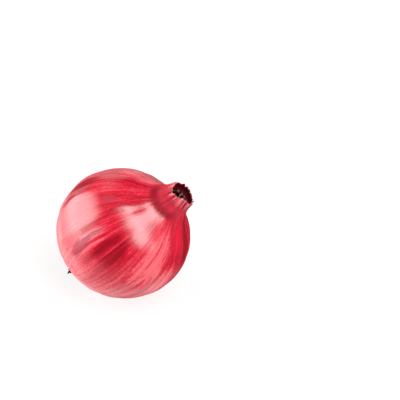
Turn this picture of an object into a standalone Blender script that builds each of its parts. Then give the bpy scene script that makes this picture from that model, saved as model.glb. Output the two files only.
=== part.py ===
"""A whole dry red onion, lying on its lower shoulder with its neck raised.

The bulb, wrapped in papery skin that is drawn up into a torn neck, is one solid. The dried stubs of
the inner leaves stand in the neck's mouth, and a tuft of dried roots sits in the dish of the root end.
Metres, +Z up. The origin is the middle of the small flat spot that the onion rests on, and the neck
leans towards +X. Each piece is modelled upright, about the bulb's own axis, and leans with it.
"""

import math
import random

import bmesh
import bpy
from mathutils import Matrix, Vector

# Driving dimensions
BULB_RADIUS = 0.039
LEAN = math.radians(44.3)
FLAT_DEPTH = 0.0006
FIT_GAP = 0.0004
SEED = 7

# The bulb's outline from the neck's rim to the root end, as shares of the bulb's radius: (radius, height)
NECK_OUTLINE = ((0.194, 1.220), (0.208, 1.165), (0.246, 1.065))
SHOULDER_OUTLINE = ((0.318, 0.966), (0.449, 0.856), (0.703, 0.677), (0.905, 0.398), (1.0, 0.0))
LOWER_OUTLINE = ((0.902, -0.418), (0.692, -0.697), (0.445, -0.856), (0.235, -0.918))
OUTLINE_STEPS = 3

# The mouth of the neck and the dish that the roots grow from, as shares of the bulb's radius
MOUTH_RADIUS = 0.166
MOUTH_FLOOR = 1.03
MOUTH_CORNER = 0.0006
MOUTH_WALL_LEVELS = (0.40, 0.75, 0.95)
DISH_RADIUS = 0.190
DISH_FLOOR = -0.885

# The skin's relief: tables of (count round the axis, height, phase)
COLUMNS = 96
SKEW = Vector((0.044, -0.024))
LOBES = ((2, 0.005, 2.6), (3, 0.004, 4.6), (5, 0.002, 1.0))
RIBS = ((17, 0.00012, 0.0), (23, 0.00010, 1.3))
RIBS_START, RIBS_FULL = 0.25 * BULB_RADIUS, 0.75 * BULB_RADIUS
PLEATS = ((13, 0.00034, 0.6), (19, 0.00018, 2.4))
PLEATS_START, PLEATS_FULL = 0.84, 1.08
CROWDING_COUNT, CROWDING_TURN = 3, 0.18

# The torn rim: higher on one side, and toothed
TEETH = ((1, 0.0009, -1.08), (4, 0.0003, 0.9), (11, 0.0003, 0.2), (17, 0.0002, 3.0), (23, 0.0002, 1.7))
TORN_START, TORN_FULL = 1.10, 1.22

# Flaps of skin at the rim, as (direction, rise, flare, spread): a standing one, one that turns outwards,
# and a broad one that rises and turns in over the mouth
FLAPS = (
    (math.radians(152), 0.0011, 0.0, 0.30),
    (math.radians(332), 0.0, 0.0005, 0.35),
    (math.radians(280), 0.0023, -0.0013, 0.75),
)

# The dried inner leaves: strips rolled round the neck's axis, outer ones first, as (radius, strips, rise)
LEAF_LAYERS = ((0.0048, 2, 0.0010), (0.0034, 2, 0.0016), (0.0020, 2, 0.0007), (0.0008, 1, 0.0012))
LEAF_THICKNESS = 0.00065
LEAF_WAVES, LEAF_WAVE = 5, 0.04
LEAF_TWIST = 2.0
LEAF_CURL = 0.10
LEAF_ROWS = 4
LEAF_STEP = math.radians(16)
LEAF_SWEEP = (0.74, 0.86)
LEAF_RAGGED = (-0.0009, 0.0006)
LEAF_RISE_SHARE = (0.4, 1.0)
LEAF_BELOW_RIM = 0.0020
LEAF_SINK = 0.0012
PLUG_HEIGHT = 0.0032
PLUG_BEVELS = (0.0004, 0.0009)
PLUG_STEPS = 28

# The root tuft: a low corky plate and the roots that grow down from it
ROOT_COUNT = 54
ROOT_RADIUS = 0.00045
ROOT_TIP = 0.55
ROOT_LENGTHS = (0.0046, 0.0092)
ROOT_SHORTER_OUTSIDE = 0.18
ROOT_SPREAD = 0.0050
ROOT_SPLAY = (0.10, 0.42)
ROOT_SWING = 0.8 * math.pi
ROOT_BEND = 0.0011
ROOT_POINTS = 5
ROOT_SINK = 0.0005
GOLDEN_ANGLE = math.pi * (3 - math.sqrt(5))
PLATE_OUTLINE = ((1.0, 0.0), (1.08, 0.0006), (1.03, 0.0013), (0.66, 0.0021), (0.0, 0.0025))
PLATE_STEPS = 32

WELD = 0.00001
SHARP_ANGLE = math.radians(50)
SKIN_COLOUR, SKIN_ROUGHNESS = (0.52, 0.02, 0.05, 1.0), 0.32
LEAF_COLOUR, LEAF_ROUGHNESS = (0.055, 0.012, 0.012, 1.0), 0.60
ROOT_COLOUR, ROOT_ROUGHNESS = (0.23, 0.12, 0.07, 1.0), 0.85


def clear_scene():
    for thing in list(bpy.data.objects):
        bpy.data.objects.remove(thing)


def new_collection(name, hidden=False):
    made = bpy.data.collections.new(name)
    bpy.context.scene.collection.children.link(made)
    made.hide_render = hidden
    return made


def new_object(name, data, collection):
    made = bpy.data.objects.new(name, data)
    collection.objects.link(made)
    return made


def new_material(name, colour, roughness):
    made = bpy.data.materials.new(name)
    made.use_nodes = True
    shader = made.node_tree.nodes["Principled BSDF"]
    shader.inputs["Base Color"].default_value = colour
    shader.inputs["Roughness"].default_value = roughness
    shader.inputs["Metallic"].default_value = 0.0
    return made


def evaluated_mesh(source):
    """The object's mesh with its modifiers applied, as a mesh of its own."""
    bpy.context.view_layer.update()
    graph = bpy.context.evaluated_depsgraph_get()
    return bpy.data.meshes.new_from_object(source.evaluated_get(graph))


def ease(start, end, value):
    """0 before start, 1 after end, and smooth between them."""
    share = min(1.0, max(0.0, (value - start) / (end - start)))
    return share * share * (3 - 2 * share)


def waves(table, angle):
    """The sum of (count, height, phase) waves at this angle round the axis."""
    return sum(height * math.cos(count * angle + phase) for count, height, phase in table)


def smooth_line(points, steps):
    """A Catmull-Rom curve through the points, with this many steps from each to the next."""
    ends = [2 * points[0] - points[1], *points, 2 * points[-1] - points[-2]]
    line = []
    for a, b, c, d in zip(ends, ends[1:], ends[2:], ends[3:]):
        bend = 2 * a - 5 * b + 4 * c - d
        turn = 3 * b - 3 * c + d - a
        for i in range(steps):
            t = i / steps
            line.append(0.5 * (2 * b + (c - a) * t + bend * t**2 + turn * t**3))
    return [*line, points[-1]]


def bulb_outline():
    """The smooth outside of the bulb, rim to root end, in metres."""
    shares = NECK_OUTLINE + SHOULDER_OUTLINE + LOWER_OUTLINE
    return smooth_line([Vector(share) * BULB_RADIUS for share in shares], OUTLINE_STEPS)


def skewed(x, y, height):
    """The bulb's axis isn't quite square to its root end, so each level is shifted a little sideways."""
    return Vector((x + SKEW.x * height, y + SKEW.y * height, height))


def skin_point(point):
    """Moves a point of the plain turned bulb to the grown skin: lobes, ribs, neck pleats and the torn rim."""
    radius = math.hypot(point.x, point.y)
    angle = math.atan2(point.y, point.x)
    level = point.z / BULB_RADIUS
    side = ease(RIBS_START, RIBS_FULL, radius)
    neck = ease(PLEATS_START, PLEATS_FULL, level)
    drawn = min(1.0, radius / (MOUTH_RADIUS * BULB_RADIUS))
    crowded = angle + CROWDING_TURN * math.sin(CROWDING_COUNT * angle)
    fold = waves(PLEATS, crowded) * neck * drawn
    radius += radius * waves(LOBES, angle) * side + waves(RIBS, angle) * side + fold
    torn = ease(TORN_START, TORN_FULL, level)
    height = point.z + torn * waves(TEETH, angle)
    for direction, rise, flare, spread in FLAPS:
        away = math.remainder(angle - direction, math.tau) / spread
        share = torn * math.exp(-away * away)
        height += rise * share
        radius += flare * share
    return skewed(radius * math.cos(angle), radius * math.sin(angle), height)


def resting_place(bulb):
    """Where the axis stands, so that the ground cuts the lowest skin and the cut's middle is the origin."""
    lean = Matrix.Rotation(LEAN, 3, "Y")
    skin = [lean @ vertex.co for vertex in bulb.data.vertices]
    ground = min(point.z for point in skin) + FLAT_DEPTH
    low = [point for point in skin if point.z < ground]
    middle = sum(low, Vector((0.0, 0.0, 0.0))) / len(low)
    return Vector((-middle.x, -middle.y, -ground))


def turned(name, outline, steps, collection):
    """The outline, which runs down its outer side in the XZ plane, turned about Z as one closed mesh."""
    mesh = bpy.data.meshes.new(name)
    points = [(x, 0.0, height) for x, height in outline]
    mesh.from_pydata(points, [(i, i + 1) for i in range(len(points) - 1)], [])
    made = new_object(name, mesh, collection)
    screw = made.modifiers.new("turn", "SCREW")
    screw.axis = "Z"
    screw.angle = math.tau
    screw.steps = screw.render_steps = steps
    screw.use_merge_vertices = True
    screw.merge_threshold = WELD
    made.data = evaluated_mesh(made)
    made.modifiers.clear()
    return made


def make_bulb(collection, axis):
    """Mouth floor, mouth wall, rim, outside and root dish in one turned outline, then the skin's relief."""
    mouth, floor = MOUTH_RADIUS * BULB_RADIUS, MOUTH_FLOOR * BULB_RADIUS
    rim = NECK_OUTLINE[0][1] * BULB_RADIUS
    dish, dish_floor = DISH_RADIUS * BULB_RADIUS, DISH_FLOOR * BULB_RADIUS
    inside = [(0.0, floor), (mouth / 2, floor), (mouth, floor + MOUTH_CORNER)]
    inside += [(mouth, floor + (rim - floor) * level) for level in MOUTH_WALL_LEVELS]
    root_end = [(dish, dish_floor), (dish / 2, dish_floor), (0.0, dish_floor)]
    bulb = turned("bulb", inside + bulb_outline() + root_end, COLUMNS, collection)
    for vertex in bulb.data.vertices:
        vertex.co = skin_point(vertex.co)
    bulb.data.shade_smooth()
    bulb.data.set_sharp_from_angle(angle=SHARP_ANGLE)
    bulb.parent = axis
    return bulb


def cut_flat_spot(bulb, cutters):
    """The small flat spot that the onion rests on, level with the ground."""
    mesh = bpy.data.meshes.new("ground_cutter")
    block = bmesh.new()
    bmesh.ops.create_cube(block, size=2 * BULB_RADIUS)
    block.to_mesh(mesh)
    block.free()
    ground = new_object("ground_cutter", mesh, cutters)
    ground.location.z = -BULB_RADIUS
    ground.display_type = "WIRE"
    ground.hide_render = True
    cut = bulb.modifiers.new("flat_spot", "BOOLEAN")
    cut.operation = "DIFFERENCE"
    cut.solver = "EXACT"
    cut.object = ground


def join_into(body, pieces, solver):
    """One Boolean union of a collection's pieces into the body, applied, with the pieces then removed."""
    union = body.modifiers.new("join", "BOOLEAN")
    union.operation = "UNION"
    union.solver = solver
    union.operand_type = "COLLECTION"
    union.collection = pieces
    body.data = evaluated_mesh(body)
    body.modifiers.clear()
    for piece in list(pieces.objects):
        bpy.data.objects.remove(piece)
    bpy.data.collections.remove(pieces)


def leaf_strip(name, radius, start, sweep, top, draw, collection):
    """One dried leaf stub: a wavy strip rolled round the axis, ragged along its top and leaning inwards."""
    columns = max(3, round(sweep / LEAF_STEP))
    foot = MOUTH_FLOOR * BULB_RADIUS + PLUG_HEIGHT - LEAF_SINK
    phase = draw.uniform(0, math.tau)
    ragged = [draw.uniform(*LEAF_RAGGED) for _ in range(columns + 1)]
    sheet = bmesh.new()
    rows = []
    for row in range(LEAF_ROWS + 1):
        up = row / LEAF_ROWS
        line = []
        for column in range(columns + 1):
            angle = start + sweep * column / columns
            wave = 1 + LEAF_WAVE * math.sin(LEAF_WAVES * angle + phase + LEAF_TWIST * up)
            reach = radius * wave * (1 - LEAF_CURL * up * up)
            height = foot + (top + ragged[column] - foot) * up
            line.append(sheet.verts.new(skewed(reach * math.cos(angle), reach * math.sin(angle), height)))
        rows.append(line)
    for low, high in zip(rows, rows[1:]):
        for column in range(columns):
            sheet.faces.new((low[column], low[column + 1], high[column + 1], high[column]))
    mesh = bpy.data.meshes.new(name)
    sheet.to_mesh(mesh)
    sheet.free()
    strip = new_object(name, mesh, collection)
    thick = strip.modifiers.new("thickness", "SOLIDIFY")
    thick.thickness = LEAF_THICKNESS
    thick.offset = 0.0
    strip.data = evaluated_mesh(strip)
    strip.modifiers.clear()
    return strip


def make_leaf_plug(collection):
    """The plug that the dried leaves are grown together in, at the bottom of the mouth."""
    floor = MOUTH_FLOOR * BULB_RADIUS + FIT_GAP
    top = floor + PLUG_HEIGHT
    width = LEAF_LAYERS[0][0] * (1 + 1.5 * LEAF_WAVE) + LEAF_THICKNESS / 2
    upper, lower = PLUG_BEVELS
    outline = [(0.0, top), (width - upper, top), (width, top - upper)]
    outline += [(width, floor + lower), (width - lower, floor), (0.0, floor)]
    plug = turned("neck_leaves", outline, PLUG_STEPS, collection)
    for vertex in plug.data.vertices:
        vertex.co = skewed(*vertex.co)
    return plug


def make_neck_leaves(collection, axis):
    """The dried stubs of the inner leaves, rolled inside one another, standing in their plug."""
    draw = random.Random(SEED)
    rim = NECK_OUTLINE[0][1] * BULB_RADIUS
    plug = make_leaf_plug(collection)
    strips = new_collection("leaf_strips")
    for layer, (radius, count, rise) in enumerate(LEAF_LAYERS):
        turn = draw.uniform(0, math.tau)
        for number in range(count):
            start = turn + math.tau * number / count
            sweep = math.tau / count * draw.uniform(*LEAF_SWEEP)
            top = rim - LEAF_BELOW_RIM + rise * draw.uniform(*LEAF_RISE_SHARE)
            leaf_strip(f"leaf_{layer}_{number}", radius, start, sweep, top, draw, strips)
    join_into(plug, strips, "MANIFOLD")
    plug.parent = axis
    return plug


def root_path(number, draw):
    """A dried root's centreline: from its place in a sunflower spiral on the plate, splayed, then bent."""
    share = math.sqrt((number + 0.5) / ROOT_COUNT)
    angle = number * GOLDEN_ANGLE
    length = draw.uniform(*ROOT_LENGTHS) * (1.0 - ROOT_SHORTER_OUTSIDE * share)
    splay = draw.uniform(*ROOT_SPLAY) * share
    bend = Vector((draw.uniform(-1, 1), draw.uniform(-1, 1))) * ROOT_BEND
    outward = Vector((math.cos(angle), math.sin(angle)))
    top = DISH_FLOOR * BULB_RADIUS - FIT_GAP - ROOT_SINK
    path = []
    for step in range(ROOT_POINTS):
        along = step / (ROOT_POINTS - 1)
        flat = outward * (ROOT_SPREAD * share + splay * length * math.sin(ROOT_SWING * along))
        flat += bend * math.sin(math.pi * along)
        path.append(skewed(flat.x, flat.y, top - length * along))
    return path


def root_strand(name, path, collection):
    """One root as a round tube along its path, thinner at its tip, with its caps welded on."""
    curve = bpy.data.curves.new(name, "CURVE")
    curve.dimensions = "3D"
    curve.bevel_depth = ROOT_RADIUS
    curve.bevel_resolution = 0
    curve.use_fill_caps = True
    spline = curve.splines.new("POLY")
    spline.points.add(len(path) - 1)
    for index, (knot, place) in enumerate(zip(spline.points, path)):
        knot.co = (*place, 1.0)
        knot.radius = 1.0 - (1.0 - ROOT_TIP) * index / (len(path) - 1)
    tube = new_object(name, curve, collection)
    mesh = evaluated_mesh(tube)
    welded = bmesh.new()
    welded.from_mesh(mesh)
    bmesh.ops.remove_doubles(welded, verts=welded.verts, dist=WELD)
    bmesh.ops.recalc_face_normals(welded, faces=welded.faces)
    welded.to_mesh(mesh)
    welded.free()
    strand = new_object(name + "_strand", mesh, collection)
    strand.matrix_world = tube.matrix_world
    bpy.data.objects.remove(tube)
    return strand


def make_root_tuft(collection, axis):
    """The corky root plate in its dish, with the dried roots that grow out of it."""
    draw = random.Random(SEED + 1)
    top = DISH_FLOOR * BULB_RADIUS - FIT_GAP
    width = (DISH_RADIUS * BULB_RADIUS - 2 * FIT_GAP) / max(share for share, _ in PLATE_OUTLINE)
    outline = [(0.0, top), *((width * share, top - depth) for share, depth in PLATE_OUTLINE)]
    plate = turned("root_tuft", outline, PLATE_STEPS, collection)
    for vertex in plate.data.vertices:
        vertex.co = skewed(*vertex.co)
    strands = new_collection("root_strands")
    for number in range(ROOT_COUNT):
        root_strand(f"root_{number}", root_path(number, draw), strands)
    join_into(plate, strands, "EXACT")
    plate.parent = axis
    return plate


def main():
    clear_scene()
    onion = new_collection("red_onion")
    cutters = new_collection("cutters", hidden=True)
    axis = new_object("onion_axis", None, onion)
    bulb = make_bulb(onion, axis)
    neck_leaves = make_neck_leaves(onion, axis)
    root_tuft = make_root_tuft(onion, axis)
    axis.location = resting_place(bulb)
    axis.rotation_euler = (0.0, LEAN, 0.0)
    cut_flat_spot(bulb, cutters)
    bulb.data.materials.append(new_material("onion_skin", SKIN_COLOUR, SKIN_ROUGHNESS))
    neck_leaves.data.materials.append(new_material("dried_leaf", LEAF_COLOUR, LEAF_ROUGHNESS))
    root_tuft.data.materials.append(new_material("dried_root", ROOT_COLOUR, ROOT_ROUGHNESS))


main()
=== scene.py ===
"""The looks of the red onion: its skin, the dried leaves in its neck, its roots, and the studio round it.

Every surface is worked out about the bulb's own axis, upright and in metres, and then leaned and set
down where the solids are. Heights run from the root end, below the bulb's middle, up to the neck's rim.
A place on the skin is measured along it, from 0 at the neck's rim to 1 at the root end.
"""

import math

import bpy
import numpy as np
from mathutils import Matrix, Vector


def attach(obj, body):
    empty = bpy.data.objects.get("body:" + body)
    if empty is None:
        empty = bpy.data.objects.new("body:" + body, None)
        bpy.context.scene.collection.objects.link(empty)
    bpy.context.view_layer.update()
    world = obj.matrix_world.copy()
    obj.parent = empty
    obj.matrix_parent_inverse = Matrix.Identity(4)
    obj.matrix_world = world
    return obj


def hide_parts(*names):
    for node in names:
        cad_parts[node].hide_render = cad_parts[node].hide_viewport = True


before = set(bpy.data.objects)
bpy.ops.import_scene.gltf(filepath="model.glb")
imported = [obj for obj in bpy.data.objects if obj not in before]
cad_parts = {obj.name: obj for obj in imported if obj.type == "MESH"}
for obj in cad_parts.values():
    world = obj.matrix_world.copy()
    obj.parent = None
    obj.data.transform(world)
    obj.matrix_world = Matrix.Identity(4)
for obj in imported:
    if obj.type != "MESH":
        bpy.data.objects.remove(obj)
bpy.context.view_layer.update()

X, Y, Z = (1.0, 0.0, 0.0), (0.0, 1.0, 0.0), (0.0, 0.0, 1.0)

# The bulb, as the solids have it
BULB_RADIUS = 0.039
BULB_CENTRE = np.array((-0.00121, -0.00114, 0.03690))
LEAN = math.radians(44.3)
SKEW = (0.044, -0.024)

# The outline from the neck's rim to the root end, as shares of the bulb's radius: (radius, height)
OUTLINE = np.array((
    (0.194, 1.220), (0.208, 1.165), (0.246, 1.065), (0.318, 0.966), (0.449, 0.856), (0.703, 0.677),
    (0.905, 0.398), (1.0, 0.0), (0.902, -0.418), (0.692, -0.697), (0.445, -0.856), (0.235, -0.918),
))
# The mouth in the neck and the dish at the root end, as such shares too
MOUTH_RADIUS, MOUTH_FLOOR = 0.166, 1.03
DISH_RADIUS, DISH_FLOOR = 0.190, -0.885
# The heights between which the mouth's wall turns outwards, until it runs just inside the outline
WALL_TURN = (1.09, 1.19)
RIM_THICKNESS = 0.00028
# Places beyond the outer skin: on the mouth's floor, at its wall's top, on the lip and in the dish
FLOOR_PLACE, WALL_PLACE, LIP_PLACE, DISH_PLACE = -1.0, -0.1, -0.02, 1.05

# The skin's grid
COLUMNS = 600
OUTER_ROWS, INNER_ROWS, FLOOR_ROWS, DISH_ROWS = 122, 20, 5, 8

# The skin's relief, as (count round the axis, height, phase): the lobes' heights are shares of the radius
LOBES = ((2, 0.005, 2.6), (3, 0.004, 4.6), (5, 0.002, 1.0))
RIBS = ((17, 0.00012, 0.0), (23, 0.00010, 1.3))
PLEATS = ((13, 0.00034, 0.6), (19, 0.00018, 2.4), (31, 0.00012, 1.1))
TEETH = (
    (1, 0.0009, -1.08), (4, 0.0003, 0.9), (11, 0.0003, 0.2), (17, 0.0002, 3.0), (23, 0.0002, 1.7),
    (41, 0.00016, 0.5), (67, 0.00012, 2.2), (97, 0.00009, 1.0),
)
PLEATS_CROWDING = 0.18
# Where the relief grows to its full height: lobes, ribs and veins by radius, pleats and teeth by height
SIDE_GROWS, PLEATS_GROW, TEETH_GROW = (0.25, 0.75), (0.84, 1.08), (1.10, 1.22)
# Flaps of the torn edge: (direction, rise, flare, spread in radians)
FLAPS = (
    (math.radians(152), 0.0011, 0.0, 0.30), (math.radians(332), 0.0, 0.0005, 0.35),
    (math.radians(280), 0.0023, -0.0013, 0.75),
)
# How the grain wanders: (count round the axis, swing, phase, turn from neck to root), and its twist
GRAIN_SWAYS = ((2, 0.05, 1.3, 1.5), (3, 0.035, 0.0, 4.2), (7, 0.016, 2.0, -6.0))
GRAIN_TWIST = 0.10
VEINS, VEIN_HEIGHT = 78, 0.00004
VEIN_STRENGTHS, VEIN_SEED = (0.15, 1.0), 5
# The skin's crumple: (height, waves to a unit, seed), where a unit is a radius round the axis, and the
# whole way from neck to root counts as CRUMPLE_LENGTH
CRUMPLES = ((0.00007, 1.1, 11), (0.000035, 3.2, 12))
CRUMPLE_LENGTH = 0.35

# The dried leaves in the mouth: (radius, strips, drop below the rim, curl inwards)
LEAF_LAYERS = (
    (0.0052, 2, 0.0028, 0.10), (0.0046, 3, 0.0020, 0.22), (0.0038, 2, 0.0024, 0.15),
    (0.0029, 2, 0.0017, 0.30), (0.0020, 2, 0.0023, 0.25), (0.0011, 1, 0.0016, 0.20),
)
LEAF_ROWS, LEAF_COLUMNS = 16, 44
LEAF_THICKNESS, LEAF_FOOT = 0.00022, 0.0002
# The share of its part of the circle that a strip covers, how much its top rises or drops, and its twist
LEAF_COVER, LEAF_UNEVEN, LEAF_TWIST = (0.80, 0.98), 0.0006, 0.10
# A strip's waves: (count round the axis, share of the radius, turn from foot to top)
LEAF_WAVES = ((5, 0.05, 2.0), (11, 0.03, 0.0))
# A strip's crumple and the tears along its top: (height, waves to a unit), and their units to a metre
# across a strip and to a strip's height
LEAF_CRUMPLE, LEAF_TEARS = (0.00016, 0.8), ((0.0007, 0.9), (0.0004, 2.6))
LEAF_FLOW_ACROSS, LEAF_FLOW_UP = 400, 2.5
LEAF_SEED = 21

# The root plate, with its knobs as (height, waves to a unit, seed)
PLATE_RADIUS, PLATE_BRIM = 0.0066, 0.97
PLATE_SUNK, PLATE_EDGE, PLATE_DOME = 0.0001, 0.0009, 0.0016
PLATE_KNOBS = ((0.00022, 2.4, 31), (0.00012, 6.0, 32))
PLATE_UNEVEN = (0.03, 1.2, 33)
PLATE_ROWS, PLATE_COLUMNS = 24, 96

# The dried roots
ROOT_COUNT, ROOT_SEED = 230, 41
ROOT_POINTS, ROOT_SIDES = 10, 6
ROOT_RADII, ROOT_LENGTHS = (0.00022, 0.00050), (0.0040, 0.0074)
ROOT_SPREAD, ROOT_STRAY = 0.0056, 0.1
ROOT_EDGE_SHORTER = 0.15
ROOT_SPLAY, ROOT_BEND, ROOT_CURL = (0.02, 0.50), 0.0007, 0.0004
# The half waves that the splay, the bend and the curl follow from a root's foot to its tip
SPLAY_WAVES, BEND_WAVES, CURL_WAVES = 0.8, 1.0, 2.5
ROOT_FOOT, ROOT_DOME = 0.0008, 0.0010
ROOT_TAPER, ROOT_TAPER_POWER = 0.55, 1.5
# The lock of roots in the middle, which is longer, thicker and bent one way, and closes towards its tips
LOCK_SHARE, LOCK_LENGTH, LOCK_EVENNESS = 0.28, 0.0120, (0.85, 1.05)
LOCK_BEND = (0.0013, -0.0007)
LOCK_CLOSING, LOCK_NARROWING = 0.03, 0.45
LOCK_THICKER, LOCK_TAPER = 0.9, 0.20

# The camera, from the photograph
CAMERA_AZIMUTH, CAMERA_ELEVATION = math.radians(4.1), math.radians(40.0)
CAMERA_DISTANCE = 0.936
SENSOR_WIDTH = 36.0
IMAGE_SIZE = 400
BULB_PIXEL = (123.65, 233.03)
PIXELS_PER_METRE = 67.0 / BULB_RADIUS

# The floor's size, and how bright the floor and the room are
FLOOR_SIZE = 9.0
FLOOR_WHITE, FLOOR_GLOW = 0.18, 0.81
WINDOW_LEFT, WINDOW_RIGHT = 4.6, 6.0
ROOM_DARK, ROOM_SEEN = 0.02, 0.95
# The room's edges, by direction, as (vector, start, end): a light grows from nothing to its full strength
# as a ray's reach along the vector goes from the start, up or down, to the end
LEFT_WINDOW = ((X, -0.57, -0.72), (Y, 0.81, 0.70), ((0.0, 1.0, 0.15), -0.46, -0.30))
LEFT_UPPER, LEFT_REAR = ((Z, -0.40, 0.10),), ((Y, 0.0, 0.7),)
LEFT_LOWER_SHARE, LEFT_REAR_LOSS = 0.12, 0.25
RIGHT_WINDOW = (
    ((0.83, 0.55, 0.0), -0.14, 0.06), (Y, 0.14, -0.02), (Y, -0.86, -0.66), (X, 0.92, 0.64), (Z, 0.20, 0.38),
)
# The pale walls, as (strength, edges): behind the onion, below it, on the low left and low at the back
PALE_WALLS = (
    (0.58, ((Y, -0.30, 0.55), (X, -0.55, -0.25), ((1.0, 0.0, 0.4), 0.18, -0.04))),
    (0.50, ((Z, 0.02, -0.90), (Y, 0.52, 0.0))),
    (0.38, ((X, -0.30, -0.80), (Z, 0.0, -0.40), (Y, 0.78, 0.60))),
    (0.95, ((Y, 0.25, 0.50), (Z, -0.33, -0.42), (X, -0.15, -0.30))),
)
# Where the walls are dark: low on the right, but not straight below
RIGHT_SHADE = (((1.0, 0.0, -0.5), 0.26, 0.46), (Z, 0.35, 0.05), (Z, -0.95, -0.70))


def ease(start, end, value):
    """0 before start, 1 after end, and smooth between them."""
    share = np.clip((value - start) / (end - start), 0.0, 1.0)
    return share * share * (3 - 2 * share)


def waves(table, angle):
    """The sum of (count, height, phase) waves at these angles round the axis."""
    return sum(height * np.cos(count * angle + phase) for count, height, phase in table)


def smooth_line(points, samples):
    """A Catmull-Rom curve: each stretch is the cubic through its two ends that leaves each end
    parallel to the line between that end's neighbours."""
    ends = np.vstack([2 * points[0] - points[1], points, 2 * points[-1] - points[-2]])
    place = np.linspace(0, len(points) - 1, samples)
    first = np.minimum(place.astype(int), len(points) - 2)
    t = (place - first)[:, None]
    a, b, c, d = (ends[first + i] for i in range(4))
    return 0.5 * (2 * b + (c - a) * t + (2 * a - 5 * b + 4 * c - d) * t**2 + (3 * b - 3 * c + d - a) * t**3)


def ripple(points, waves_per_unit, seed, count=12):
    """Soft noise round 0 with a spread of about 1: sines along random directions, at random phases."""
    draw = np.random.default_rng(seed)
    total = np.zeros(points.shape[:-1])
    for _ in range(count):
        direction = draw.normal(size=points.shape[-1])
        direction *= waves_per_unit * draw.uniform(0.6, 1.5) / np.linalg.norm(direction)
        total += np.sin(math.tau * (points @ direction) + draw.uniform(0, math.tau))
    return total * math.sqrt(2 / count)


def around(x, y, height):
    """Points about the bulb's skewed axis: each level is shifted sideways in step with its height."""
    return np.stack([x + SKEW[0] * height, y + SKEW[1] * height, height + 0 * x], axis=-1)


def set_down(points):
    """Upright points leaned by LEAN about Y and moved to the bulb's place."""
    turn = np.array(Matrix.Rotation(LEAN, 3, "Y"))
    return points @ turn.T + BULB_CENTRE


def grid_faces(rows, columns, closed):
    """Quads that join a grid of points, facing out where rows run down and columns run anticlockwise."""
    across = np.arange(columns if closed else columns - 1)[None, :]
    down = np.arange(rows - 1)[:, None] * columns
    a, b = down + across, down + (across + 1) % columns
    return np.stack([a, a + columns, b + columns, b], axis=-1).reshape(-1, 4)


def pole_faces(ring, pole, upwards):
    """Triangles from a ring of points to the point that closes it."""
    after = np.roll(ring, -1)
    centre = np.full_like(ring, pole)
    return np.stack([centre, ring, after] if upwards else [centre, after, ring], axis=-1)


def closed_faces(rows, columns):
    """The faces of a grid round the axis whose first and last rows are closed by one point each: those
    two points come after the grid's."""
    count = rows * columns
    return [
        grid_faces(rows, columns, closed=True),
        pole_faces(np.arange(columns), count, upwards=True),
        pole_faces(np.arange(count - columns, count), count + 1, upwards=False),
    ]


def new_piece(name, points, faces, attribute=None, values=None):
    """A smooth mesh piece from arrays of points and faces, with one vector attribute on its points."""
    mesh = bpy.data.meshes.new(name)
    corners = np.concatenate([group.reshape(-1) for group in faces])
    sizes = np.concatenate([np.full(len(group), group.shape[1]) for group in faces])
    mesh.vertices.add(len(points))
    mesh.vertices.foreach_set("co", points.reshape(-1))
    mesh.loops.add(len(corners))
    mesh.loops.foreach_set("vertex_index", corners)
    mesh.polygons.add(len(sizes))
    mesh.polygons.foreach_set("loop_start", np.cumsum(sizes) - sizes)
    mesh.polygons.foreach_set("use_smooth", np.ones(len(sizes), dtype=bool))
    mesh.update(calc_edges=True)
    if attribute:
        stored = mesh.attributes.new(attribute, "FLOAT_VECTOR", "POINT")
        stored.data.foreach_set("vector", values.reshape(-1).astype(np.float32))
    piece = bpy.data.objects.new(name, mesh)
    bpy.context.scene.collection.objects.link(piece)
    return piece


def skin_profile():
    """The turned outline, mouth floor to dish floor, as arrays of radius, height and place along the skin.
    The wall's radius goes from the mouth's own to the outline's less the rim's thickness."""
    outer = smooth_line(OUTLINE, OUTER_ROWS) * BULB_RADIUS
    steps = np.linalg.norm(np.diff(outer, axis=0), axis=1)
    place = np.concatenate([[0.0], np.cumsum(steps)]) / steps.sum()
    floor, rim = MOUTH_FLOOR * BULB_RADIUS, OUTLINE[0, 1] * BULB_RADIUS
    height = np.linspace(floor, rim, INNER_ROWS)
    outside = np.interp(height, outer[::-1, 1], outer[::-1, 0])
    follows = ease(*WALL_TURN, height / BULB_RADIUS)
    wall = MOUTH_RADIUS * BULB_RADIUS * (1 - follows) + (outside - RIM_THICKNESS) * follows
    inner = np.stack([wall, height], axis=1)
    shares = np.linspace(0, 1, FLOOR_ROWS + 1)[1:-1]
    base = np.stack([wall[0] * shares, np.full_like(shares, floor)], axis=1)
    lip = np.array([[outer[0, 0] - RIM_THICKNESS / 2, rim + RIM_THICKNESS / 3]])
    dish = DISH_RADIUS * BULB_RADIUS * np.linspace(1, 0, DISH_ROWS + 1)[:-1]
    root_end = np.stack([dish, np.full_like(dish, DISH_FLOOR * BULB_RADIUS)], axis=1)
    profile = np.vstack([base, inner, lip, outer, root_end])
    places = np.concatenate([
        np.full(len(base), FLOOR_PLACE), np.linspace(FLOOR_PLACE, WALL_PLACE, INNER_ROWS), [LIP_PLACE],
        place, np.full(len(root_end), DISH_PLACE),
    ])
    return profile[:, 0], profile[:, 1], places


def grain_angle(angle, place):
    """The angle of the skin's grain: the angle round the axis + the sum of swing x sine(count x angle +
    phase + turn x place) + a twist that comes and goes between neck and root."""
    grain = angle + GRAIN_TWIST * place * (1 - place)
    for count, swing, phase, turn in GRAIN_SWAYS:
        grain = grain + swing * np.sin(count * angle + phase + turn * place)
    return grain


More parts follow.
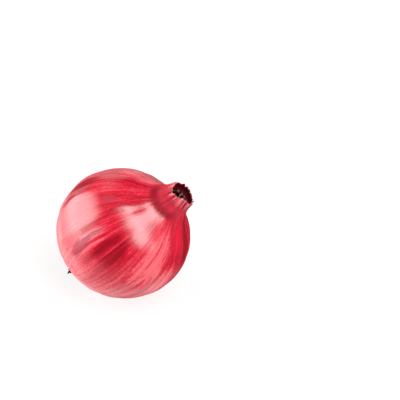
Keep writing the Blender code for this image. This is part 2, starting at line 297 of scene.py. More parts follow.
def grown_skin(radius, height, place, angle):
    """Radius: outline, lobes, ribs, neck pleats, veins and crumple. Height: outline, teeth and flaps.
    A vein is the fourth power of a raised cosine across the grain, with its own strength."""
    level = height / BULB_RADIUS
    side = ease(*SIDE_GROWS, radius / BULB_RADIUS)
    neck = ease(*PLEATS_GROW, level)
    drawn = np.minimum(1.0, radius / (MOUTH_RADIUS * BULB_RADIUS))
    fold = waves(PLEATS, angle + PLEATS_CROWDING * np.sin(3 * angle)) * neck * drawn
    grain = grain_angle(angle, place)
    strengths = np.random.default_rng(VEIN_SEED).uniform(*VEIN_STRENGTHS, VEINS)
    cell = np.floor(grain * VEINS / math.tau).astype(int) % VEINS
    vein = ((1 - np.cos(VEINS * grain)) / 2) ** 4 * strengths[cell] * VEIN_HEIGHT
    flow = np.stack([np.cos(grain), np.sin(grain), CRUMPLE_LENGTH * place], axis=-1)
    crumple = sum(high * ripple(flow, fineness, seed) for high, fineness, seed in CRUMPLES)
    radius = radius * (1 + waves(LOBES, angle) * side) + waves(RIBS, angle) * side + fold
    radius = radius + (vein + crumple) * side
    torn = ease(*TEETH_GROW, level)
    height = height + torn * waves(TEETH, angle)
    for direction, rise, flare, spread in FLAPS:
        away = np.remainder(angle - direction + math.pi, math.tau) - math.pi
        share = torn * np.exp(-((away / spread) ** 2))
        height = height + rise * share
        radius = radius + flare * share
    return around(radius * np.cos(angle), radius * np.sin(angle), height)


def make_skin():
    """The whole outside of the bulb on one grid, with its mouth and its root dish, flat where it rests."""
    turn = np.linspace(0, math.tau, COLUMNS, endpoint=False)
    radius, angle = np.meshgrid(skin_profile()[0], turn, indexing="ij")
    height, place = (column[:, None] + 0 * angle for column in skin_profile()[1:])
    grid = grown_skin(radius, height, place, angle)
    poles = around(np.zeros(2), np.zeros(2), np.array([MOUTH_FLOOR, DISH_FLOOR]) * BULB_RADIUS)
    points = set_down(np.vstack([grid.reshape(-1, 3), poles]))
    points[:, 2] = np.maximum(points[:, 2], 0.0)
    grain = grain_angle(angle, place)
    values = np.stack([np.cos(grain), np.sin(grain), place], axis=-1).reshape(-1, 3)
    values = np.vstack([values, [[0, 0, FLOOR_PLACE], [0, 0, DISH_PLACE]]])
    return new_piece("bulb_skin", points, closed_faces(len(radius), COLUMNS), "grain", values)


def leaf_strip(radius, start, sweep, top, curl, draw):
    """One dried leaf on a grid: a strip round the axis, waved across, crumpled, and torn along its top.
    Radius: layer x (1 + waves) x (1 - curl x height squared) + crumple x height. Height: foot to a
    ragged top."""
    up = np.linspace(0, 1, LEAF_ROWS)[::-1, None]
    across = np.linspace(0, 1, LEAF_COLUMNS)[None, :]
    angle = start + sweep * across + LEAF_TWIST * np.sin(3 * up + start)
    seed = int(draw.integers(1000))
    wave = 0.0
    for (count, share, turn), phase in zip(LEAF_WAVES, draw.uniform(0, math.tau, 3)):
        wave = wave + share * np.sin(count * angle + phase + turn * up)
    round_axis = np.stack([np.cos(angle), np.sin(angle)], axis=-1)
    height_flow = LEAF_FLOW_UP * up + 0 * angle
    flow = np.concatenate([LEAF_FLOW_ACROSS * radius * round_axis, height_flow[..., None]], axis=-1)
    high, fineness = LEAF_CRUMPLE
    reach = radius * (1 + wave) * (1 - curl * up * up) + high * ripple(flow, fineness, seed) * up
    ragged = 0.0
    for high, fineness in LEAF_TEARS:
        seed += 1
        ragged = ragged + high * ripple(flow[0], fineness, seed)
    foot = MOUTH_FLOOR * BULB_RADIUS + LEAF_FOOT
    height = foot + (top + ragged[None, :] - foot) * up
    points = around(reach * np.cos(angle), reach * np.sin(angle), height)
    places = np.stack([up + 0 * angle, across + 0 * up, np.full_like(angle, draw.uniform())], axis=-1)
    return points, places


def make_neck_leaves():
    """The dried inner leaves, rolled inside one another in the mouth, as thin strips in one piece."""
    draw = np.random.default_rng(LEAF_SEED)
    rim = OUTLINE[0, 1] * BULB_RADIUS
    points, values, faces = [], [], []
    for radius, count, drop, curl in LEAF_LAYERS:
        turn = draw.uniform(0, math.tau)
        for number in range(count):
            start = turn + math.tau * number / count
            sweep = math.tau / count * draw.uniform(*LEAF_COVER)
            top = rim - drop + draw.uniform(-LEAF_UNEVEN, LEAF_UNEVEN)
            strip, place = leaf_strip(radius, start, sweep, top, curl, draw)
            faces.append(grid_faces(LEAF_ROWS, LEAF_COLUMNS, closed=False) + len(points) * strip[..., 0].size)
            points.append(strip.reshape(-1, 3))
            values.append(place.reshape(-1, 3))
    piece = new_piece("dried_neck_leaves", set_down(np.vstack(points)), faces, "leaf", np.vstack(values))
    thick = piece.modifiers.new("thickness", "SOLIDIFY")
    thick.thickness = LEAF_THICKNESS
    thick.offset = 0.0
    return piece


def make_root_plate():
    """The corky plate: a low dome under the dish, knobbly, closed by a flat top.
    Depth: edge + (1 - radius squared) x dome height + knobs."""
    top = DISH_FLOOR * BULB_RADIUS - PLATE_SUNK
    share = np.linspace(1, 0, PLATE_ROWS + 1)[:-1, None]
    angle = np.linspace(0, math.tau, PLATE_COLUMNS, endpoint=False)[None, :]
    flat = np.stack([share * np.cos(angle), share * np.sin(angle)], axis=-1)
    knobs = sum(high * ripple(flat, fineness, seed) for high, fineness, seed in PLATE_KNOBS)
    uneven, fineness, seed = PLATE_UNEVEN
    reach = PLATE_RADIUS * share * (1 + uneven * ripple(flat, fineness, seed))
    depth = PLATE_EDGE + PLATE_DOME * (1 - share**2) + knobs
    lower = around(reach * np.cos(angle), reach * np.sin(angle), top - depth)
    brim = PLATE_RADIUS * PLATE_BRIM
    upper = around(brim * np.cos(angle), brim * np.sin(angle), top + 0 * angle)
    poles = around(np.zeros(2), np.zeros(2), np.array([top, top - PLATE_EDGE - PLATE_DOME]))
    points = set_down(np.vstack([upper.reshape(-1, 3), lower.reshape(-1, 3), poles]))
    return new_piece("root_plate", points, closed_faces(PLATE_ROWS + 1, PLATE_COLUMNS))


def root_paths(draw):
    """The roots' middle lines, each root's share of the tuft's radius, and how far it is part of the lock.
    A root starts on the plate at its place in a sunflower spiral. Sideways: its place + outwards x splay
    x length x sine + bend x sine + curl x sine x along, and in the lock a shared bend. Down: its length."""
    number = np.arange(ROOT_COUNT)[:, None]
    share = np.sqrt((number + 0.5) / ROOT_COUNT)
    angle = number * math.pi * (3 - math.sqrt(5)) + draw.normal(0, ROOT_STRAY, (ROOT_COUNT, 1))
    outward = np.stack([np.cos(angle), np.sin(angle)], axis=-1)
    length = draw.uniform(*ROOT_LENGTHS, (ROOT_COUNT, 1)) * (1 - ROOT_EDGE_SHORTER * share)
    lock = np.exp(-((share / LOCK_SHARE) ** 4))
    lock_length = LOCK_LENGTH * draw.uniform(*LOCK_EVENNESS, (ROOT_COUNT, 1))
    length = length * (1 - lock) + lock_length * lock
    splay = draw.uniform(*ROOT_SPLAY, (ROOT_COUNT, 1)) * share * (1 - lock) - LOCK_CLOSING * lock
    bend = draw.normal(0, ROOT_BEND, (ROOT_COUNT, 1, 2))
    curl = draw.normal(0, ROOT_CURL, (ROOT_COUNT, 1, 2))
    along = np.linspace(0, 1, ROOT_POINTS)[None, :]
    reach = ROOT_SPREAD * share + splay * length * np.sin(SPLAY_WAVES * math.pi * along)
    in_lock, onward = lock[..., None], along[..., None]
    flat = outward * reach[..., None]
    flat = flat + bend * np.sin(BEND_WAVES * math.pi * onward)
    flat = flat + curl * np.sin(CURL_WAVES * math.pi * onward) * onward
    flat = flat * (1 - LOCK_NARROWING * in_lock * onward) + np.array(LOCK_BEND) * in_lock * onward
    top = DISH_FLOOR * BULB_RADIUS - ROOT_FOOT - ROOT_DOME * (1 - share**2)
    return around(flat[..., 0], flat[..., 1], top - length * along), share, lock


def tubes_along(path, thick):
    """A ring of ROOT_SIDES points at each point of each path: path + thickness x (cosine x first + sine x
    second), where the first and second directions are square to the path and to each other."""
    ahead = np.gradient(path, axis=1)
    ahead /= np.linalg.norm(ahead, axis=-1, keepdims=True)
    first = np.cross(ahead, Y)
    first /= np.linalg.norm(first, axis=-1, keepdims=True)
    second = np.cross(ahead, first)
    side = np.linspace(0, math.tau, ROOT_SIDES, endpoint=False)[:, None]
    ring = np.cos(side) * first[:, :, None, :] + np.sin(side) * second[:, :, None, :]
    return path[:, :, None, :] + thick[:, :, None, None] * ring


def make_roots():
    """The dried roots: a tube along each path, closed at both ends, thinner towards its tip by a power of
    the way along it. Those of the lock are thicker and taper less."""
    draw = np.random.default_rng(ROOT_SEED)
    path, share, lock = root_paths(draw)
    along = np.linspace(0, 1, ROOT_POINTS)[None, :]
    taper = ROOT_TAPER + (LOCK_TAPER - ROOT_TAPER) * lock
    thick = draw.uniform(*ROOT_RADII, (ROOT_COUNT, 1)) * (1 + LOCK_THICKER * lock)
    thick = thick * (1 - taper * along**ROOT_TAPER_POWER)
    tubes = tubes_along(path, thick)
    size = ROOT_POINTS * ROOT_SIDES
    shell = grid_faces(ROOT_POINTS, ROOT_SIDES, closed=True)[:, ::-1]
    start = np.arange(ROOT_COUNT)[:, None] * size
    faces = [(shell[None] + start[..., None]).reshape(-1, 4)]
    faces.append(start + np.arange(ROOT_SIDES)[None, :])
    faces.append(start + np.arange(size - 1, size - ROOT_SIDES - 1, -1)[None, :])
    chance = draw.uniform(size=(ROOT_COUNT, 1, 1))
    everywhere = tubes.shape[:-1]
    values = np.stack([
        np.broadcast_to(along[..., None], everywhere),
        np.broadcast_to(chance, everywhere),
        np.broadcast_to(share[..., None], everywhere),
    ], axis=-1)
    return new_piece("dried_roots", set_down(tubes.reshape(-1, 3)), faces, "strand", values)


class Value:
    """A number that changes over a surface: an output of a material's nodes, with arithmetic on it."""

    def __init__(self, finish, socket):
        self.finish = finish
        self.socket = socket

    def maths(self, operation, *others):
        """One Math node, with this value first."""
        return self.finish.node("ShaderNodeMath", {"operation": operation}, dict(enumerate((self, *others))))

    def __add__(self, other):
        return self.maths("ADD", other)

    def __sub__(self, other):
        return self.maths("SUBTRACT", other)

    def __mul__(self, other):
        return self.maths("MULTIPLY", other)

    def __truediv__(self, other):
        return self.maths("DIVIDE", other)

    def __rsub__(self, other):
        return self.finish.node("ShaderNodeMath", {"operation": "SUBTRACT"}, {0: other, 1: self})

    __radd__ = __add__
    __rmul__ = __mul__


class Nodes:
    """A tree of nodes, with short ways to make them."""

    def __init__(self, tree):
        self.tree = tree

    def feed(self, socket, value):
        """Gives a socket a link, if the value is one, or else its own number, colour or vector."""
        if isinstance(value, Value):
            self.tree.links.new(value.socket, socket)
        elif hasattr(socket.default_value, "__len__") and len(value) < len(socket.default_value):
            socket.default_value = (*value, 1.0)
        else:
            socket.default_value = value

    def node(self, kind, settings, inputs, output=0):
        """A node of this kind: its settings first, then its sockets, and the output that is wanted."""
        made = self.tree.nodes.new(kind)
        for setting, value in settings.items():
            setattr(made, setting, value)
        for key, value in inputs.items():
            self.feed(made.inputs[key], value)
        return Value(self, made.outputs[output])

    def mix(self, share, first, second):
        """A colour between two colours."""
        settings = {"data_type": "RGBA", "clamp_factor": True}
        return self.node("ShaderNodeMix", settings, {0: share, 6: first, 7: second}, output=2)

    def step(self, value, start, end):
        """0 where the value is before start, 1 where it is past end, and smooth between them."""
        inputs = {"Value": value, "From Min": start, "From Max": end}
        return self.node("ShaderNodeMapRange", {"interpolation_type": "SMOOTHSTEP"}, inputs)

    def slope(self, value, start, end):
        """0 where the value is before start, 1 where it is past end, and even between them."""
        return self.node("ShaderNodeMapRange", {}, {"Value": value, "From Min": start, "From Max": end})

    def noise(self, vector, scale, detail=2.0, roughness=0.5):
        """Noise from 0 to 1 at this vector, with this many features to a unit."""
        inputs = {"Vector": vector, "Scale": scale, "Detail": detail, "Roughness": roughness}
        return self.node("ShaderNodeTexNoise", {}, inputs)

    def split(self, vector):
        """The three numbers of a vector."""
        first = self.node("ShaderNodeSeparateXYZ", {}, {0: vector})
        return [Value(self, output) for output in first.socket.node.outputs]

    def parts(self, name):
        """The three numbers of a vector attribute of the piece."""
        return self.split(self.node("ShaderNodeAttribute", {"attribute_name": name}, {}, output="Vector"))

    def vector(self, x, y, z):
        """A vector from three numbers."""
        return self.node("ShaderNodeCombineXYZ", {}, {0: x, 1: y, 2: z})

    def reach(self, vector, direction):
        """How far a vector reaches along a direction."""
        settings = {"operation": "DOT_PRODUCT"}
        return self.node("ShaderNodeVectorMath", settings, {0: vector, 1: direction}, output="Value")

    def object_place(self):
        """The point's own coordinates on its piece."""
        return self.node("ShaderNodeTexCoord", {}, {}, output="Object")


class Finish(Nodes):
    """One procedural material on a Principled BSDF."""

    def __init__(self, name, **constants):
        self.material = bpy.data.materials.new(name)
        self.material.use_nodes = True
        super().__init__(self.material.node_tree)
        self.shader = self.tree.nodes["Principled BSDF"]
        for socket, value in constants.items():
            self.shader.inputs[socket.replace("_", " ").title().replace("Ior", "IOR")].default_value = value

    def give(self, socket, value):
        """Feeds one of the shader's own sockets."""
        self.feed(self.shader.inputs[socket], value)

    def relief(self, height, distance):
        """Fine relief by a Bump, which feeds the shader's Normal."""
        self.give("Normal", self.node("ShaderNodeBump", {}, {"Height": height, "Distance": distance}))


# The skin's colours
DEEP_CRIMSON = (0.28, 0.0006, 0.010)
BRIGHT_RED = (0.80, 0.002, 0.034)
PALE_VEIN = (0.86, 0.13, 0.16)
MAUVE = (0.36, 0.036, 0.060)
NECK_ROSE = (0.50, 0.027, 0.050)
# Painted highlight: the pale pink laid on the neck's pleats and along the lip of its torn rim
NECK_EDGE_HIGHLIGHT = (0.86, 0.24, 0.27)
MOUTH_RED = (0.34, 0.002, 0.016)
# Painted shade: the dark laid deeper down inside the neck's mouth
MOUTH_SHADE = (0.10, 0.0008, 0.005)
ROOT_END = (0.30, 0.16, 0.11)
# The skin's tones from dark to light: (start, end, the colour that is reached at the end)
TONES = (
    (0.00, 0.26, (0.46, 0.0008, 0.015)), (0.26, 0.50, (0.66, 0.0040, 0.030)),
    (0.50, 0.76, (0.82, 0.052, 0.084)), (0.76, 1.00, (0.95, 0.150, 0.175)),
)

# Noises on the skin's grain: (across, along, scale, detail, roughness, shift along)
BROAD = (2.2, 0.9, 1.6, 3.0, 0.5, 0.0)
STREAKS = (9.0, 1.6, 1.5, 4.0, 0.6, 0.0)
FINE = (34.0, 3.0, 1.5, 3.0, 0.6, 0.0)
MOTTLE = (7.0, 9.0, 1.4, 4.0, 0.65, 7.3)
RAGGED = (11.0, 6.0, 1.5, 4.0, 0.65, 3.1)
VEIN_GAPS = (6.0, 5.0, 1.3, 2.0, 0.5, 0.0)
PLEAT_STREAKS = (7.0, 2.0, 1.5, 2.0, 0.5, 0.0)
# The skin's papery grain, on its own coordinates: (scale, detail, roughness)
PAPER = (800.0, 4.0, 0.7)

# The plain tone, what each noise adds to it, and the lighter half towards the root
PLAIN_TONE = 0.43
STREAKS_TONE, FINE_TONE, BROAD_TONE, PAPER_TONE = 1.3, 1.0, 0.6, 0.9
ROOT_HALF, ROOT_HALF_TONE = (0.52, 0.72), 0.34
# Lighter and darker patches: (degrees round the axis, place, half width in radians, half length, tone)
TONE_PATCHES = (
    (247, 0.45, 0.20, 0.11, -0.32), (258, 0.37, 0.07, 0.04, 0.14), (284, 0.33, 0.25, 0.18, 0.40),
    # The last patch on the next line, at 339 degrees, is painted shade that darkens the skin beside the right
    # outline
    (300, 0.50, 0.40, 0.14, 0.25), (312, 0.45, 0.20, 0.12, 0.32), (339, 0.22, 0.16, 0.18, -0.25),
    (171, 0.50, 0.15, 0.10, -0.42), (184, 0.60, 0.06, 0.06, -0.40), (315, 0.19, 0.22, 0.15, -0.40),
    (237, 0.52, 0.030, 0.11, 0.40), (246, 0.46, 0.013, 0.16, 0.20), (148, 0.20, 0.34, 0.12, 0.50),
)
# Mauve smudges and dull streaks, given like the patches but with a strength instead of a tone
SMUDGES = ((232, 0.585, 0.10, 0.080, 1.0), (230, 0.480, 0.04, 0.080, 0.9), (202, 0.335, 0.07, 0.045, 0.8))
DULL_STREAKS = ((171, 0.50, 0.15, 0.11, 1.0), (184, 0.60, 0.05, 0.07, 0.8))
# Faint mauve mottling: where it starts and is full, and its strength
MOTTLING, MOTTLING_SHARE = (0.66, 0.80), 0.5
# The reddest band, beside the neck: (degrees round the axis, place, half width, half length) and strength
BRIGHT_BAND, BRIGHT_SHARE = (315, 0.20, 0.21, 0.13), 0.95
# A patch's border: how far noise pushes it in and out, where it fades, and how it ends on the far side
PATCH_RAGGED, PATCH_FADES, PATCH_FAR_SIDE = 2.4, (0.1, 1.4), (0.0, 0.2)
# Pale veins: from their line to their edge, from too faint to strongest, their gaps, and their cover
VEIN_EDGE, VEIN_RANK, VEIN_BROKEN, VEIN_COVER = (0.03, 0.13), (0.30, 0.85), (0.40, 0.62), 0.5

# The neck: how much lower its dull part reaches on its near left than on its far right
NECK_SLANT = -0.025
# Places along the skin between which each colour or finish of the neck, the mouth and the root changes
NECK_ENDS, NECK_GLOSS_STARTS = (0.065, 0.105), (0.080, 0.115)
CREASE_SHADE_STARTS, CREASE_SHADE_ENDS = (0.035, 0.070), (0.080, 0.110)
PLEATS_END, LIP_HIGHLIGHT_ENDS = (0.006, 0.045), (0.001, 0.006)
RED_MOUTH_ENDS, MOUTH_SHADE_ENDS = (-0.17, -0.11), (-0.34, -0.10)
ROOT_END_STARTS = (0.955, 0.99)
# The painted shade round the neck's creased foot lies on its near side: it grows as the sum of the grain's x
# and y falls from the first of these to the second
CREASE_SHADE_SIDE = (-0.3, -1.1)
# Painted shade and painted highlights on the pleats: dark and pale lines by their noise, and the covers of
# the pleats' painted shade and of the painted highlight along the lip
SHADED_PLEATS, HIGHLIGHTED_PLEATS = (0.40, 0.48), (0.50, 0.58)
PLEAT_SHADE_COVER, LIP_HIGHLIGHT_COVER = 0.9, 0.4
# A colour's cover, as its least and what a noise adds to it
SMUDGE_COVER, NECK_COVER, CREASE_SHADE_COVER = (0.35, 0.9), (0.6, 0.35), (0.48, 0.8)

# The skin's gloss: its roughness, what streaks, dull places and the root add to it, and its dull shares
SKIN_ROUGHNESS, STREAKS_ROUGHER, DULL_ROUGHER, ROOT_ROUGHER = 0.30, 0.14, 0.30, 0.2
SMUDGE_DULL, NECK_DULL = 0.7, 0.97
# Where the coat fades towards the outline, and how much of it goes
COAT_FADES, COAT_LOSS = (0.60, 0.92), 0.92
# The relief's depth, and the shares of the noises and the veins in it
SKIN_RELIEF = 0.00025
FINE_RELIEF, STREAKS_RELIEF, VEIN_RELIEF, PAPER_RELIEF = 0.9, 1.1, 0.7, 0.3


def grain_noise(skin, grain, across, along, scale, detail, roughness, shift):
    """Noise drawn out along the grain: it is read at (direction x across, place x along + shift)."""
    x, y, place = grain
    return skin.noise(skin.vector(x * across, y * across, place * along + shift), scale, detail, roughness)


def patch(skin, grain, degrees, middle, width, length, ragged):
    """From 1 inside a patch of the skin to 0 outside it: an ellipse across and along the grain, where
    across is the sine of the angle to its middle, and its border is pushed in and out by a noise."""
    x, y, place = grain
    cos, sin = math.cos(math.radians(degrees)), math.sin(math.radians(degrees))
    across = (y * cos - x * sin) / width
    along = (place - middle) / length
    reach = across * across + along * along + (ragged - 0.5) * PATCH_RAGGED
    return (1 - skin.step(reach, *PATCH_FADES)) * skin.step(x * cos + y * sin, *PATCH_FAR_SIDE)


def patches(skin, grain, table, ragged, total):
    """The total with each patch of a table added to it, at its own strength."""
    for degrees, middle, width, length, strength in table:
        total = total + patch(skin, grain, degrees, middle, width, length, ragged) * strength
    return total


def vein_lines(skin, grain):
    """1 on a vein and 0 beside it: VEINS lines round the axis, where a random rank leaves out the
    faintest and a noise breaks the rest."""
    x, y, _ = grain
    turns = y.maths("ARCTAN2", x) * (VEINS / math.tau)
    rank = skin.node("ShaderNodeTexWhiteNoise", {"noise_dimensions": "1D"}, {"W": turns.maths("FLOOR")})
    off_line = (turns.maths("FRACT") - 0.5).maths("ABSOLUTE")
    broken = skin.step(grain_noise(skin, grain, *VEIN_GAPS), *VEIN_BROKEN)
    return (1 - skin.step(off_line, *VEIN_EDGE)) * skin.step(rank, *VEIN_RANK) * broken


def toned_colour(skin, tone):
    """The skin's colour at a tone: each entry of TONES is mixed over the ones before it."""
    colour = DEEP_CRIMSON
    for start, end, lighter in TONES:
        colour = skin.mix(skin.slope(tone, start, end), colour, lighter)
    return colour


def neck_colour(skin, grain, colour, fine, lower):
    """The neck over the skin's colour: dull rose, with painted shade round its creased foot on the near side,
    painted shade and painted highlights as dark and pale pleats and a pale lip at its torn edge, and the
    mouth, red at its top and darkened below by painted shade."""
    x, y, place = grain
    neck = 1 - skin.step(lower, *NECK_ENDS)
    colour = skin.mix(neck * (NECK_COVER[0] + fine * NECK_COVER[1]), colour, NECK_ROSE)
    # Painted shade: deep crimson laid round the neck's creased foot on its near side
    crease_shade = skin.step(lower, *CREASE_SHADE_STARTS) * (1 - skin.step(lower, *CREASE_SHADE_ENDS))
    crease_shade = crease_shade * skin.step(x + y, *CREASE_SHADE_SIDE)
    colour = skin.mix(crease_shade * (CREASE_SHADE_COVER[0] + fine * CREASE_SHADE_COVER[1]), colour, DEEP_CRIMSON)
    # Painted shade and painted highlights: dark and pale lines across the pleats, and a pale lip along the
    # rim
    pleats = grain_noise(skin, grain, *PLEAT_STREAKS)
    pleated = 1 - skin.step(place, *PLEATS_END)
    pleat_shade = pleated * (1 - skin.step(pleats, *SHADED_PLEATS))
    colour = skin.mix(pleat_shade * PLEAT_SHADE_COVER, colour, DEEP_CRIMSON)
    edge = pleated * skin.step(pleats, *HIGHLIGHTED_PLEATS) + (1 - skin.step(place, *LIP_HIGHLIGHT_ENDS)) * LIP_HIGHLIGHT_COVER
    colour = skin.mix(edge, colour, NECK_EDGE_HIGHLIGHT)
    colour = skin.mix(1 - skin.step(place, *RED_MOUTH_ENDS), colour, MOUTH_RED)
    # Painted shade: the mouth's wall darkens deeper down
    return skin.mix(1 - skin.step(place, *MOUTH_SHADE_ENDS), colour, MOUTH_SHADE)


def skin_finish():
    """Papery crimson skin: its tone is streaked along the grain and lighter or darker in patches, with
    the reddest band beside the neck, pale veins, mauve smudges and a dull neck. Its gloss is gone from
    the neck and the dull streaks, and fades towards the outline."""
    skin = Finish("onion_skin", specular_ior_level=0.15, coat_ior=1.75, coat_roughness=0.22)
    grain = x, y, place = skin.parts("grain")
    noises = (grain_noise(skin, grain, *table) for table in (BROAD, STREAKS, FINE, MOTTLE, RAGGED))
    broad, streaks, fine, mottle, ragged = noises
    paper = skin.noise(skin.object_place(), *PAPER)
    vein = vein_lines(skin, grain)
    lower = place - (x + y) * NECK_SLANT
    root = skin.step(place, *ROOT_END_STARTS)

    tone = (streaks - 0.5) * STREAKS_TONE + (fine - 0.5) * FINE_TONE + (broad - 0.5) * BROAD_TONE
    tone = tone + (paper - 0.5) * PAPER_TONE + PLAIN_TONE + skin.step(place, *ROOT_HALF) * ROOT_HALF_TONE
    colour = toned_colour(skin, patches(skin, grain, TONE_PATCHES, ragged, tone))
    colour = skin.mix(patch(skin, grain, *BRIGHT_BAND, streaks) * BRIGHT_SHARE, colour, BRIGHT_RED)
    colour = skin.mix(vein * VEIN_COVER, colour, PALE_VEIN)
    smudge = skin.step(mottle, *MOTTLING) * MOTTLING_SHARE
    smudge = patches(skin, grain, SMUDGES, mottle, smudge).maths("MINIMUM", 1.0)
    colour = skin.mix(smudge * (SMUDGE_COVER[0] + ragged * SMUDGE_COVER[1]), colour, MAUVE)
    colour = neck_colour(skin, grain, colour, fine, lower)
    skin.give("Base Color", skin.mix(root, colour, ROOT_END))

    dull = smudge * SMUDGE_DULL + (1 - skin.step(lower, *NECK_GLOSS_STARTS)) * NECK_DULL
    dull = patches(skin, grain, DULL_STREAKS, streaks, dull).maths("MINIMUM", 1.0)
    rougher = streaks * STREAKS_ROUGHER + dull * DULL_ROUGHER + root * ROOT_ROUGHER
    skin.give("Roughness", rougher + SKIN_ROUGHNESS)
    edge_on = skin.node("ShaderNodeLayerWeight", {}, {"Blend": 0.5}, output="Facing")
    faded = skin.step(edge_on, *COAT_FADES) * COAT_LOSS
    skin.give("Coat Weight", (1 - dull) * (1 - root) * (1 - faded))
    relief = fine * FINE_RELIEF + streaks * STREAKS_RELIEF + vein * VEIN_RELIEF + paper * PAPER_RELIEF
    skin.relief(relief, SKIN_RELIEF)
    return skin.material


# The dried leaves' colours, and their noises: (units across, up and from leaf to leaf), scale and detail
LEAF_BLACK, LEAF_BROWN = (0.018, 0.0006, 0.001), (0.085, 0.003, 0.006)
# The second colour of this line is a painted glint, pale on parts of the leaves' torn tops
LEAF_VEIN, LEAF_GLINT = (0.16, 0.012, 0.016), (0.62, 0.30, 0.27)
LEAF_VEINS, LEAF_BLOTCHES = ((26.0, 1.6, 9.0), 1.5, 3.0), ((3.0, 3.0, 5.0), 1.6, 3.0)
# Where the leaves turn brown, show veins and carry painted glints on their torn tops, by the noises and by
# height, and the veins' cover
BROWN_BLOTCH, RAISED_VEIN, VEINED_COVER = (0.4, 0.65), (0.55, 0.72), 0.5
GLINT_TOP, GLINT_BLOTCH = (0.84, 0.96), (0.52, 0.62)
LEAF_ROUGHNESS, VEINS_ROUGHER = 0.32, 0.25
LEAF_RELIEF, BLOTCH_RELIEF = 0.0002, 0.5


def part_noise(finish, parts, units, scale, detail):
    """Noise at three numbers of a piece, each stretched by its own units."""
    first, second, third = (part * unit for part, unit in zip(parts, units))
    return finish.noise(finish.vector(first, second, third), scale, detail)


def leaf_finish():
    """Dried inner leaf: near black brown-red, veined lengthwise, a little shiny, with painted glints, pale,
    on parts of its torn top.
    """
    leaf = Finish("dried_leaf", specular_ior_level=0.2)
    up, across, chance = leaf.parts("leaf")
    veins = part_noise(leaf, (across, up, chance), *LEAF_VEINS)
    blotch = part_noise(leaf, (across, up, chance), *LEAF_BLOTCHES)
    colour = leaf.mix(leaf.step(blotch, *BROWN_BLOTCH), LEAF_BLACK, LEAF_BROWN)
    colour = leaf.mix(leaf.step(veins, *RAISED_VEIN) * VEINED_COVER, colour, LEAF_VEIN)
    # Painted glints: pale spots on parts of the torn tops
    torn = leaf.step(up, *GLINT_TOP) * leaf.step(blotch, *GLINT_BLOTCH)
    leaf.give("Base Color", leaf.mix(torn, colour, LEAF_GLINT))
    leaf.give("Roughness", veins * VEINS_ROUGHER + LEAF_ROUGHNESS)
    leaf.relief(veins + blotch * BLOTCH_RELIEF, LEAF_RELIEF)
    return leaf.material


# The dried roots' colours, their rings as a noise like the leaves', and where the tip's colour comes in
ROOT_DARK, ROOT_BROWN = (0.050, 0.010, 0.010), (0.24, 0.12, 0.075)
ROOT_TIP, ROOT_RING = (0.070, 0.004, 0.008), (0.025, 0.008, 0.007)
ROOT_RINGS, DARK_RING, RING_COVER = ((22.0, 40.0, 3.0), 1.0, 2.0), (0.55, 0.75), 0.5
TIP_STARTS, TIP_COVER = (0.25, 0.8), 0.85
ROOT_RELIEF = 0.0002


def root_finish():
    """Dried roots: each its own brown, darker towards its tip, with faint rings."""
    root = Finish("dried_root", roughness=0.85)
    along, chance, share = root.parts("strand")
    rings = part_noise(root, (along, chance, share), *ROOT_RINGS)
    colour = root.mix(chance, ROOT_DARK, ROOT_BROWN)
    colour = root.mix(root.step(along, *TIP_STARTS) * TIP_COVER, colour, ROOT_TIP)
    root.give("Base Color", root.mix(root.step(rings, *DARK_RING) * RING_COVER, colour, ROOT_RING))
    root.relief(rings, ROOT_RELIEF)
    return root.material


# The plate's colours, its grains and blotches as (scale, detail, roughness), and where each colour shows
CORK_PIT, CORK_BROWN, CORK_STAIN = (0.05, 0.022, 0.015), (0.28, 0.18, 0.12), (0.12, 0.03, 0.03)
CORK_GRAINS, CORK_BLOTCHES = (900.0, 4.0, 0.65), (260.0, 2.0, 0.5)
BROWN_GRAIN, STAINED_BLOTCH, STAIN_COVER = (0.40, 0.66), (0.5, 0.7), 0.5
CORK_RELIEF = 0.0004


def plate_finish():
    """The corky root plate: grey-brown with dark pits and a few stains."""
    plate = Finish("root_plate", roughness=0.9)
    grains = plate.noise(plate.object_place(), *CORK_GRAINS)
    blotch = plate.noise(plate.object_place(), *CORK_BLOTCHES)
    colour = plate.mix(plate.step(grains, *BROWN_GRAIN), CORK_PIT, CORK_BROWN)
    stain = plate.step(blotch, *STAINED_BLOTCH) * STAIN_COVER
    plate.give("Base Color", plate.mix(stain, colour, CORK_STAIN))
    plate.relief(grains, CORK_RELIEF)
    return plate.material


def floor_finish():
    """Matt white acrylic, lit softly from below, so that shadows on it stay faint and neutral."""
    floor = Finish("studio_white", roughness=0.9, emission_strength=FLOOR_GLOW)
    floor.give("Base Color", (FLOOR_WHITE, FLOOR_WHITE, FLOOR_WHITE))
    floor.give("Emission Color", (1.0, 1.0, 1.0))
    return floor.material


def finish_piece(piece, material, node):
    """Gives a piece its material and its body, and hides the solid of the node that it stands for."""
    piece.data.materials.append(material)
    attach(piece, "root")
    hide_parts(node)


def camera_axes():
    """Right, up and back of the photograph's camera, in the frame's axes."""
    sin_a, cos_a = math.sin(CAMERA_AZIMUTH), math.cos(CAMERA_AZIMUTH)
    sin_e, cos_e = math.sin(CAMERA_ELEVATION), math.cos(CAMERA_ELEVATION)
    right = Vector((cos_a, sin_a, 0.0))
    back = Vector((sin_a * cos_e, -cos_a * cos_e, sin_e))
    return right, back.cross(right), back


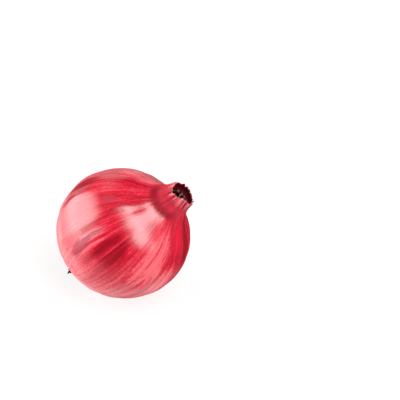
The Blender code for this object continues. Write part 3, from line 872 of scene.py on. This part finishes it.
def add_camera():
    """The camera at the photograph's angle, aimed so that the bulb falls at its place in the photograph."""
    right, up, back = camera_axes()
    across = (IMAGE_SIZE / 2 - BULB_PIXEL[0]) / PIXELS_PER_METRE
    rise = (BULB_PIXEL[1] - IMAGE_SIZE / 2) / PIXELS_PER_METRE
    aim = Vector(BULB_CENTRE) + right * across + up * rise
    data = bpy.data.cameras.new("camera")
    data.sensor_width = SENSOR_WIDTH
    data.lens = SENSOR_WIDTH * CAMERA_DISTANCE * PIXELS_PER_METRE / IMAGE_SIZE
    camera = bpy.data.objects.new("camera", data)
    camera.location = aim + back * CAMERA_DISTANCE
    camera.rotation_euler = back.to_track_quat("Z", "Y").to_euler()
    bpy.context.scene.collection.objects.link(camera)
    bpy.context.scene.camera = camera


def add_floor():
    """The floor. Gloss doesn't see it: what the skin mirrors from below is the room's own lower half."""
    bpy.ops.mesh.primitive_plane_add(size=FLOOR_SIZE)
    floor = bpy.context.active_object
    floor.name = "studio_floor"
    floor.data.materials.append(floor_finish())
    floor.visible_glossy = False


def lit_within(room, ray, edges):
    """1 where a ray is past all these edges, 0 where it is before one of them, and soft between."""
    lit = 1.0
    for direction, start, end in edges:
        lit = room.step(room.reach(ray, direction), start, end) * lit
    return lit


def add_room():
    """The room round the floor, by direction: a wide soft window low on the left, weaker low down and
    towards the back, one high on the right, pale walls, and dark low on the right and behind the camera.
    Seen plainly, it is pale all over."""
    world = bpy.data.worlds.new("studio")
    bpy.context.scene.world = world
    world.use_nodes = True
    room = Nodes(world.node_tree)
    ray = room.node("ShaderNodeTexCoord", {}, {}, output="Generated")
    upper = lit_within(room, ray, LEFT_UPPER) * (1 - LEFT_LOWER_SHARE) + LEFT_LOWER_SHARE
    front = 1 - lit_within(room, ray, LEFT_REAR) * LEFT_REAR_LOSS
    gloss = lit_within(room, ray, LEFT_WINDOW) * upper * front * WINDOW_LEFT
    gloss = gloss + lit_within(room, ray, RIGHT_WINDOW) * WINDOW_RIGHT
    unshaded = 1 - lit_within(room, ray, RIGHT_SHADE)
    for strength, edges in PALE_WALLS:
        gloss = gloss + lit_within(room, ray, edges) * unshaded * strength
    gloss = gloss + ROOM_DARK
    seen = room.node("ShaderNodeLightPath", {}, {}, output="Is Camera Ray")
    background = room.tree.nodes["Background"]
    room.feed(background.inputs["Strength"], gloss * (1 - seen) + seen * ROOM_SEEN)
    room.feed(background.inputs["Color"], (1.0, 1.0, 1.0))


add_camera()
add_floor()
add_room()
bpy.context.scene.view_settings.view_transform = "Standard"
finish_piece(make_skin(), skin_finish(), "bulb")
finish_piece(make_neck_leaves(), leaf_finish(), "neck_leaves")
finish_piece(make_root_plate(), plate_finish(), "root_tuft")
finish_piece(make_roots(), root_finish(), "root_tuft")
